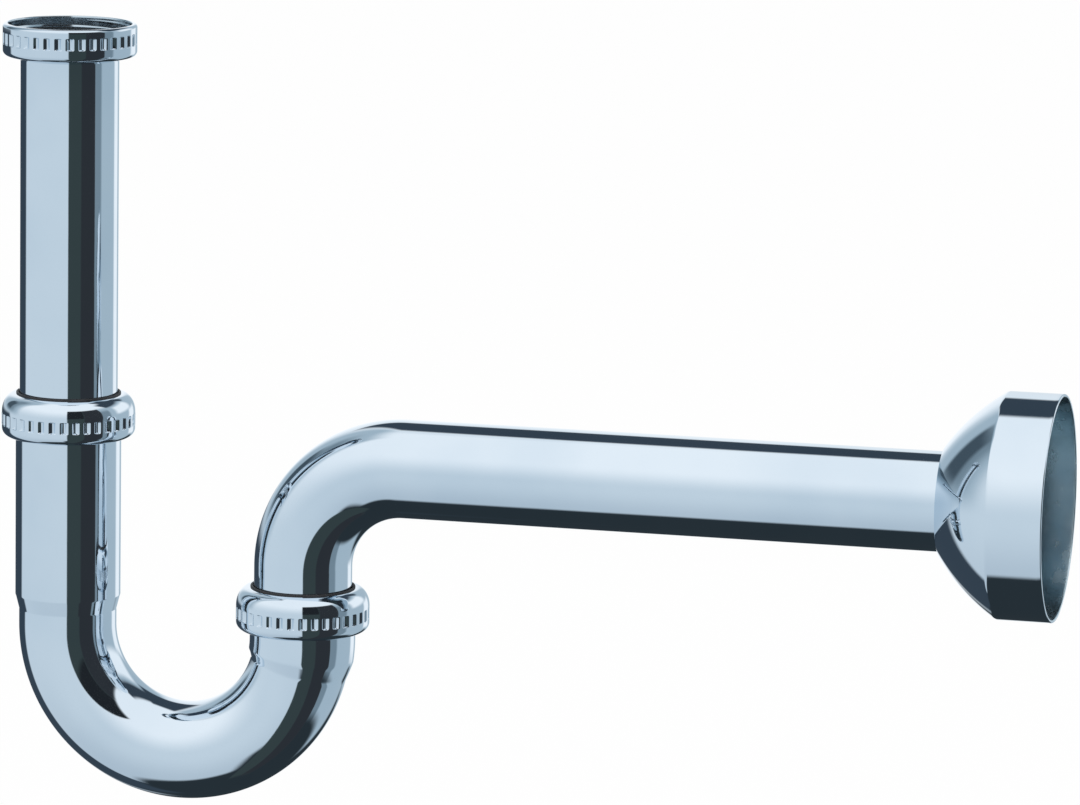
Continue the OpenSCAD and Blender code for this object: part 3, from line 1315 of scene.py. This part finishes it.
@dataclass
class Studio:
    """Plain soft light: a pale tent with dark flags for the chrome, a pale floor and a soft lamp."""

    floor_z: float = -0.32
    floor_half: float = 9.0
    low_tone: tuple[float, float, float] = (0.56, 0.64, 0.71)
    mid_tone: tuple[float, float, float] = (0.70, 0.78, 0.84)
    high_tone: tuple[float, float, float] = (1.04, 1.06, 1.08)
    grey: tuple[float, float, float] = (0.46, 0.56, 0.63)
    slate: tuple[float, float, float] = (0.22, 0.29, 0.34)
    dusk: tuple[float, float, float] = (0.070, 0.100, 0.125)
    navy: tuple[float, float, float] = (0.045, 0.064, 0.086)
    teal: tuple[float, float, float] = (0.044, 0.061, 0.062)
    black: tuple[float, float, float] = (0.032, 0.036, 0.042)
    night: tuple[float, float, float] = (0.018, 0.021, 0.025)
    table: tuple[float, float, float] = (0.026, 0.036, 0.043)

    def cards(self) -> tuple[Card, ...]:
        """The cards and flags that stand round the set, the nearest last."""
        return (
            Card((-142.0, -82.0), (0.0, 66.0), self.grey, 8.0, 8.0),
            Card((-121.0, -95.0), (4.0, 50.0), self.slate, 8.0, 8.0),
            Card((-124.0, -106.0), (7.0, 32.0), self.dusk, 3.0, 5.0),
            Card((78.0, 186.0), (-60.0, 45.0), self.grey, 4.0, 8.0),
            Card((78.0, 97.0), (-60.0, 30.0), self.slate, 3.0, 8.0),
            Card((112.0, 154.0), (6.0, 33.0), self.high_tone, 6.0, 5.0),
            Card((146.0, 168.0), (-17.0, 4.0), self.high_tone, 4.0, 4.0),
            Card((190.0, 212.0), (-26.0, 22.0), self.high_tone, 6.0, 8.0),
            Card((102.0, 166.0), (40.0, 63.0), self.navy, 4.0, 4.0),
            Card((160.0, 214.0), (30.0, 66.0), self.navy, 4.0, 3.0),
            Card((-152.0, -104.0), (-70.0, -3.0), self.navy, 3.0, 4.0),
            Card((-190.0, 190.0), (-120.0, -64.0), self.table, 3.0, 3.0),
            Card((8.0, 214.0), (-120.0, -45.0), self.table, 6.0, 4.0),
            Card((158.0, 206.0), (-120.0, -22.0), self.table, 6.0, 3.0),
            Card((15.0, 79.0), (-80.0, 43.0), self.teal, 1.2, 3.0),
            Card((45.0, 79.0), (-80.0, 43.0), self.black, 1.5, 3.0),
            Card((15.0, 44.0), (4.0, 43.0), self.night, 1.5, 3.0),
        )

    def world(self) -> None:
        """Builds the tent of light that the chrome reflects, and a white background."""
        made = bpy.data.worlds.new("studio_tent")
        bpy.context.scene.world = made
        made.use_nodes = True
        sheet = NodeSheet(made.node_tree)
        place = sheet.node("ShaderNodeTexCoord").outputs["Generated"]
        parts = sheet.node("ShaderNodeSeparateXYZ", None, {0: place})
        x, y, z = (Wire(sheet, parts.outputs[i]) for i in range(3))
        degrees = 180.0 / math.pi
        bearing = x.maths("ARCTAN2", x, 0.0 - y) * degrees
        height = z.maths("ARCSINE", z) * degrees
        tent = sheet.mix(
            height.faded(-66.0, -6.0), sheet.colour(self.low_tone), sheet.colour(self.mid_tone)
        )
        tent = sheet.mix(height.faded(-2.0, 42.0), tent, sheet.colour(self.high_tone))
        for card in self.cards():
            mask = self._window(bearing, *card.bearing, card.blur)
            mask = mask * self._window(height, *card.height, card.height_blur)
            tent = sheet.mix(mask, tent, sheet.colour(card.tone))
        path = sheet.node("ShaderNodeLightPath")
        glossy = path.outputs["Is Glossy Ray"]
        white = sheet.colour((1.0, 1.0, 1.0))
        seen = sheet.mix(Wire(sheet, glossy), white, tent)
        light = sheet.node("ShaderNodeBackground", None, {"Color": seen, "Strength": 1.0})
        sheet.node("ShaderNodeOutputWorld", None, {"Surface": light.outputs[0]})

    @staticmethod
    def _window(angle: Wire, low: float, high: float, blur: float) -> Wire:
        """1 between two angles and 0 elsewhere, with soft edges that also work across half a turn.

        Args:
            angle: the angle in degrees.
            low: where the window starts.
            high: where it ends.
            blur: half the width of each soft edge.

        Returns:
            The mask.
        """
        middle, half = (low + high) / 2, (high - low) / 2
        away = (angle - middle).wrapped(-180.0, 180.0).size()
        return 1.0 - away.faded(half - blur, half + blur)

    def floor(self) -> None:
        """Lays the pale floor, which stays white to the camera but keeps a soft shadow."""
        bm = bmesh.new()
        bmesh.ops.create_grid(bm, x_segments=1, y_segments=1, size=self.floor_half)
        bmesh.ops.translate(bm, vec=(0.0, 0.0, self.floor_z), verts=bm.verts[:])
        mesh = bpy.data.meshes.new("floor")
        bm.to_mesh(mesh)
        bm.free()
        made = bpy.data.objects.new("floor", mesh)
        bpy.context.scene.collection.objects.link(made)
        made.visible_glossy = False
        mesh.materials.append(self._floor_paint())

    def _floor_paint(self) -> bpy.types.Material:
        """White paper: mostly its own white to the camera, plain pale paper to other rays."""
        made = bpy.data.materials.new("floor_paper")
        made.use_nodes = True
        sheet = NodeSheet(made.node_tree)
        path = sheet.node("ShaderNodeLightPath")
        paper = sheet.node("ShaderNodeBsdfDiffuse", None, {"Color": (0.86, 0.86, 0.86, 1.0)})
        white = sheet.node("ShaderNodeEmission", None, {"Color": (1.0, 1.0, 1.0, 1.0), "Strength": 1.0})
        share = Wire(sheet, path.outputs["Is Camera Ray"]) * 0.93
        lit = sheet.node("ShaderNodeMixShader", None, {0: share, 1: paper.outputs[0], 2: white.outputs[0]})
        clear = sheet.node("ShaderNodeBsdfTransparent")
        under = sheet.node("ShaderNodeNewGeometry").outputs["Backfacing"]
        whole = sheet.node("ShaderNodeMixShader", None, {0: under, 1: lit.outputs[0], 2: clear.outputs[0]})
        sheet.node("ShaderNodeOutputMaterial", None, {"Surface": whole.outputs[0]})
        return made

    def lamp(self) -> None:
        """Hangs one large soft lamp over the set, for the rubber and the floor's shadow."""
        light = bpy.data.lights.new("overhead", "AREA")
        light.shape = "DISK"
        light.size = 1.2
        light.energy = 4.0
        made = bpy.data.objects.new("overhead", light)
        made.location = (0.25, -0.5, 1.5)
        made.rotation_euler = (math.radians(18), 0.0, 0.0)
        made.visible_glossy = False
        bpy.context.scene.collection.objects.link(made)

    def build(self) -> None:
        """Builds the light, the floor and the colour settings."""
        self.world()
        self.floor()
        self.lamp()
        bpy.context.scene.view_settings.view_transform = "Standard"


@dataclass(frozen=True)
class PhotoCamera:
    """The camera, placed and turned as the photograph's."""

    place: tuple[float, float, float] = (0.6245, -1.9736, 0.2425)
    heading: float = 0.232
    pitch: float = 0.1748
    roll: float = 0.0169
    lens: float = 213.9
    sensor: float = 36.0

    def build(self) -> bpy.types.Object:
        """Makes the camera and gives it to the scene."""
        right = Vector((math.cos(self.heading), math.sin(self.heading), 0.0))
        level = Vector((-math.sin(self.heading), math.cos(self.heading), 0.0))
        ahead = level * math.cos(self.pitch) - Z_AXIS * math.sin(self.pitch)
        up = right.cross(ahead)
        rolled_right = right * math.cos(self.roll) + up * math.sin(self.roll)
        rolled_up = up * math.cos(self.roll) - right * math.sin(self.roll)
        data = bpy.data.cameras.new("photo_camera")
        data.lens = self.lens
        data.sensor_width = self.sensor
        data.clip_start = 0.05
        data.clip_end = 50.0
        made = bpy.data.objects.new("photo_camera", data)
        bpy.context.scene.collection.objects.link(made)
        turn = Matrix((rolled_right, rolled_up, -ahead)).transposed().to_4x4()
        made.matrix_world = Matrix.Translation(self.place) @ turn
        bpy.context.scene.camera = made
        return made


# ---------------------------------------------------------------- assembly


def main() -> None:
    """Builds the camera, the studio and the trap from the basin to the wall."""
    logging.basicConfig(level=logging.INFO, format="%(name)s %(message)s")
    PhotoCamera().build()
    palette = Palette.mixed()
    InletUnion().build(palette)
    DropTube().build(palette)
    SlipJoint(Leg.INLET, x=0.0, top=-119.5, seal_body="inlet_slip", flutes_phase=3.5).build(palette)
    TrapBend().build(palette)
    SlipJoint(Leg.OUTLET, x=80.0, top=-179.0, seal_body="outlet_slip", flutes_phase=5.5).build(palette)
    WallArm().build(palette)
    Rosette().build(palette)
    Studio().build()


if __name__ == "__main__":
    main()
